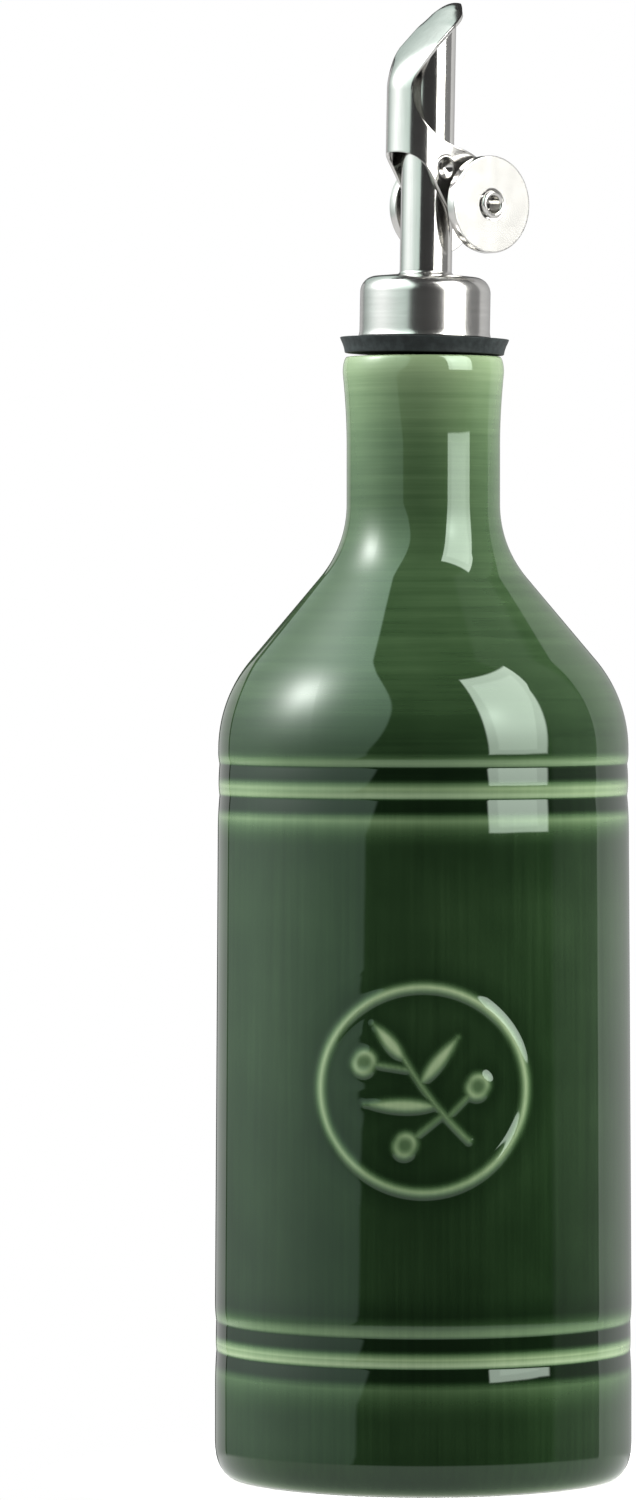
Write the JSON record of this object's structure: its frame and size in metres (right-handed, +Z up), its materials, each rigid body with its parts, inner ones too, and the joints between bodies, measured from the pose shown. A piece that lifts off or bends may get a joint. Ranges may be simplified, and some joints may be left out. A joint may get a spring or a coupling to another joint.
{
  "type": "ceramic oil dispenser",
  "caption": "Tall glazed ceramic oil bottle with a turned shoulder, grooved bands and a raised round medallion, closed by a steel pourer whose weighted flap swings open as it is tipped.",
  "frame": {"origin": "centre of the flat base, on the bottle's axis", "axes": "+Z up along the bottle, -Y is the front with the medallion, +X to the right seen from the front"},
  "size_m": [0.08, 0.0801, 0.2828],
  "materials": {
    "glaze": "glossy dark green glaze, paler where it thins over edges",
    "gasket": "satin black",
    "steel": "polished"
  },
  "bodies": {
    "bottle": {"bottle": "glaze", "gasket": "gasket", "collar": "steel", "spout_tube": "steel"},
    "flap": {"flap_shell": "steel", "weight_front": "steel", "weight_back": "steel", "rivet_front": "steel", "rivet_back": "steel"}
  },
  "joints": [
    {"name": "flap_hinge", "type": "hinge", "parent": "bottle", "child": "flap", "pos_m": [0.0008, 0, 0.25069], "axis": [0.5877, -0.809, -0.0103], "range_deg": [0, 70]}
  ]
}
